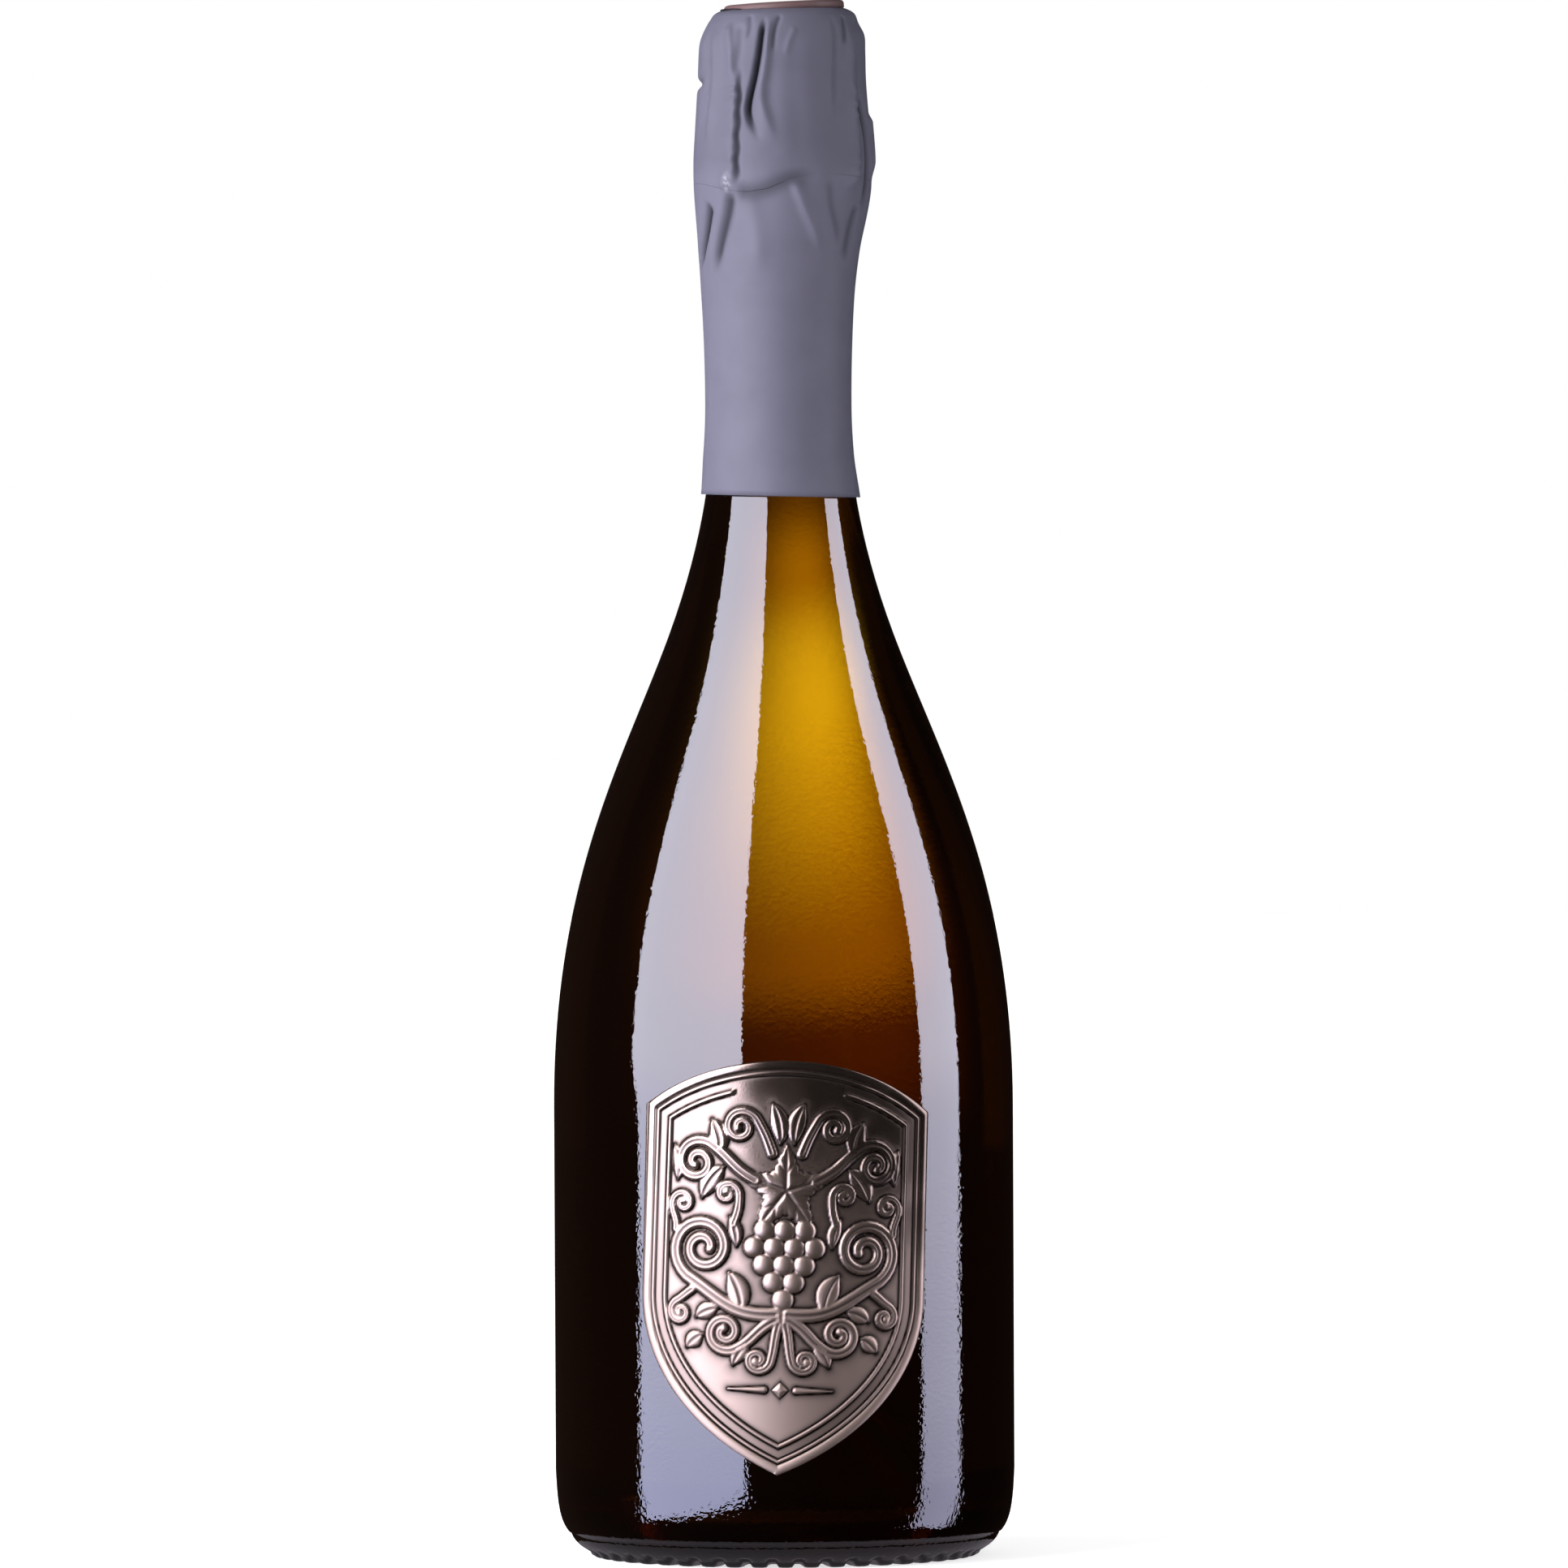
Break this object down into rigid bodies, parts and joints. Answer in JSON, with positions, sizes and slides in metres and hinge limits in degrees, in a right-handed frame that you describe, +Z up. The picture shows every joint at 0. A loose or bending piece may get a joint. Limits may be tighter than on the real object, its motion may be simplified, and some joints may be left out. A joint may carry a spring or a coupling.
{
  "type": "sparkling wine bottle",
  "caption": "Amber sparkling wine bottle with a deep punt, mushroom cork, twisted wire cage, slate foil on the neck and an embossed pewter shield label; hood, cage and cork lift off in turn.",
  "frame": {"origin": "centre of the standing ring, on the surface that the bottle stands on", "axes": "+Z up the bottle's axis to the cork; the label faces -Y; +X is to the right seen from the label"},
  "size_m": [0.094, 0.0957, 0.3174],
  "materials": {
    "amber_glass": "clear dark amber, fire polished",
    "wine": "clear pale gold liquid",
    "cork_agglomerate": "granular agglomerated cork",
    "cork_natural": "cut natural cork with pores",
    "cage_steel": "galvanised drawn wire",
    "cap_enamel": "lacquered tinplate",
    "slate_foil": "satin slate lacquer on aluminium laminate, bare silver inside",
    "pewter": "polished pewter with dark patina in the recesses",
    "adhesive": "milky pressure-sensitive film"
  },
  "bodies": {
    "bottle": {"glass_bottle": "amber_glass", "wine": "wine", "label_adhesive": "adhesive", "front_label": "pewter", "foil_skirt": "slate_foil"},
    "cork": {"cork_body": "cork_agglomerate", "cork_disc_upper": "cork_natural", "cork_disc_lower": "cork_natural"},
    "cage": {"cage_cap": "cap_enamel", "cage_wire_1": "cage_steel", "cage_wire_2": "cage_steel", "cage_wire_3": "cage_steel", "cage_wire_4": "cage_steel", "cage_belt": "cage_steel"},
    "loop": {"cage_loop": "cage_steel"},
    "hood": {"foil_hood": "slate_foil", "foil_top_disc": "slate_foil"}
  },
  "joints": [
    {"name": "cork_pull", "type": "slide", "parent": "bottle", "child": "cork", "axis": [0, 0, 1], "range_m": [0, 0.03]},
    {"name": "cage_lift", "type": "slide", "parent": "cork", "child": "cage", "axis": [0, 0, 1], "range_m": [0, 0.042], "deforming": ["cage_belt"]},
    {"name": "hood_lift", "type": "slide", "parent": "cage", "child": "hood", "axis": [0, 0, 1], "range_m": [0, 0.045]},
    {"name": "loop_fold", "type": "hinge", "parent": "cage", "child": "loop", "pos_m": [-0.00371, 0.01608, 0.2815], "axis": [-0.9744, -0.225, 0], "range_deg": [0, 98], "deforming": ["cage_loop"]}
  ],
  "couplings": [
    {"joint": "loop_fold", "follows": "hood_lift", "rad_per_m": 36}
  ]
}
